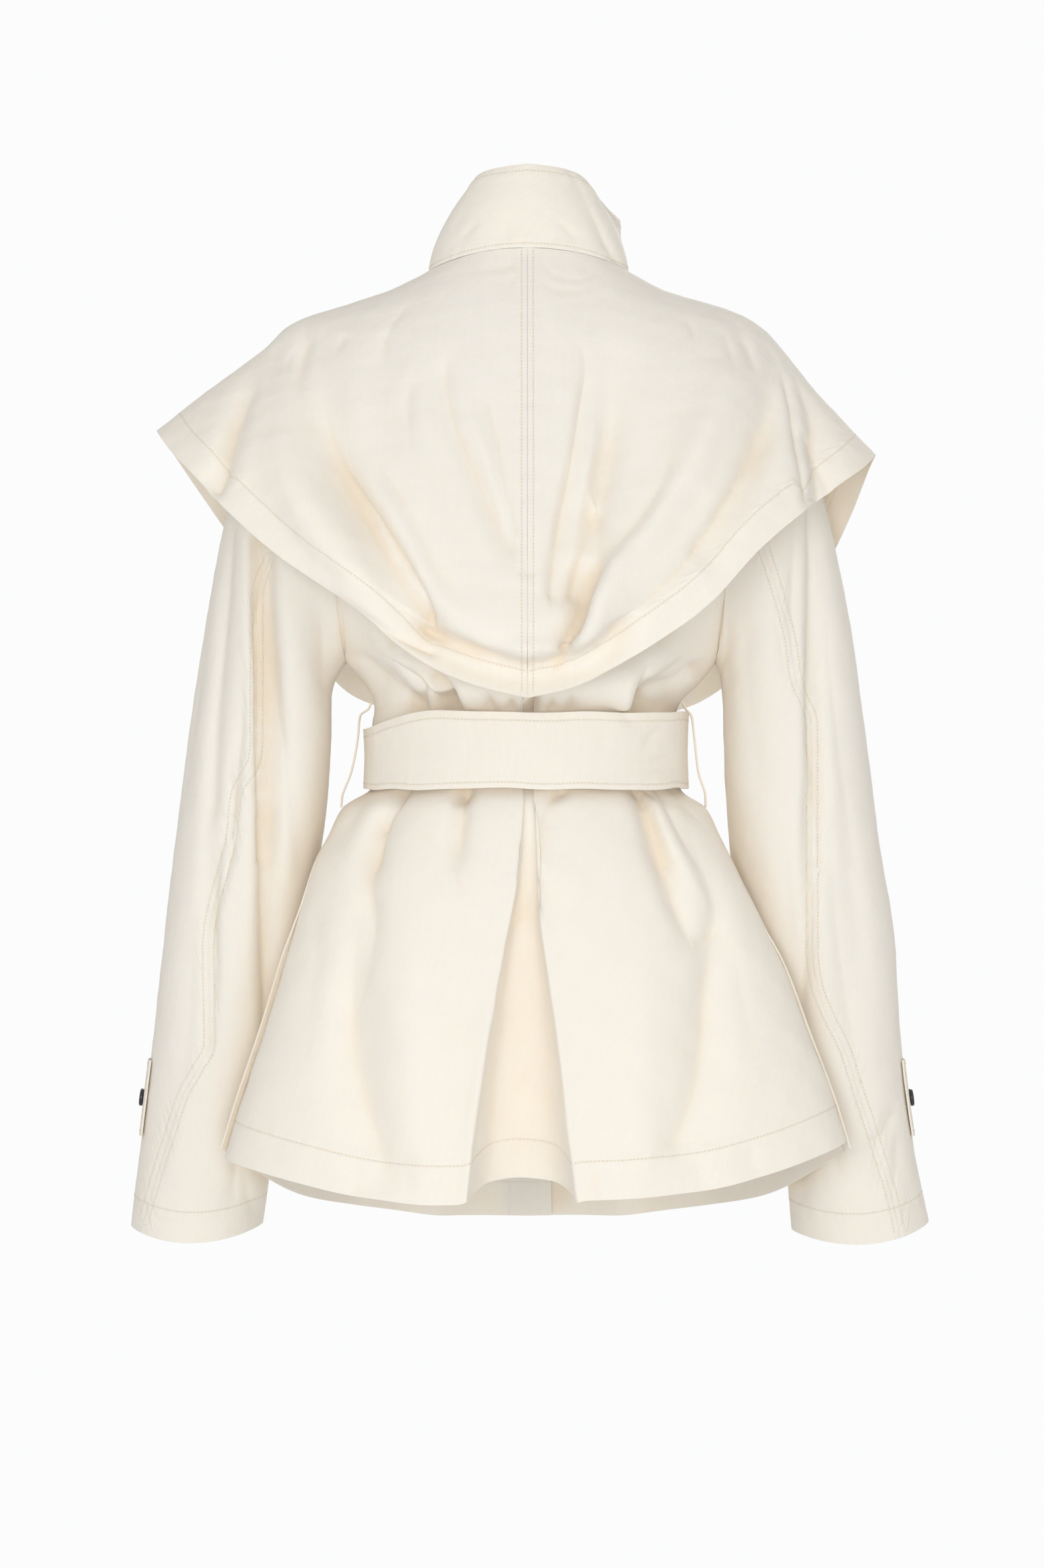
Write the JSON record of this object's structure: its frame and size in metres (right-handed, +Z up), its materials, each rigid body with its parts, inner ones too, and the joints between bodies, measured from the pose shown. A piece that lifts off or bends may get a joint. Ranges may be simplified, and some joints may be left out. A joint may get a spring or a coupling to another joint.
{
  "type": "cape jacket",
  "caption": "Belted cotton jacket with a shoulder cape, standing collar and long sleeves, hollow as worn; for dressing a figure or a rail.",
  "frame": {"origin": "middle of the neck opening at the collar seam, where the wearer's neck and shoulders hold the jacket", "axes": "+Z up; -Y is behind the wearer, +Y in front; +X is the wearer's right"},
  "size_m": [0.657, 0.3472, 0.8675],
  "materials": {
    "cloth": "cream cotton poplin, plain fine weave, slight sheen",
    "button": "near black horn-like resin, dished, satin"
  },
  "bodies": {
    "root": {"back_body": "cloth", "front_left": "cloth", "front_right": "cloth", "cape_left": "cloth", "cape_right": "cloth", "sleeve_left": "cloth", "sleeve_right": "cloth", "collar": "cloth", "belt": "cloth", "belt_loop_left": "cloth", "belt_loop_right": "cloth", "cuff_tab_left": "cloth", "cuff_tab_right": "cloth", "button_left": "button", "button_right": "button", "belt_button": "button"}
  },
  "joints": []
}
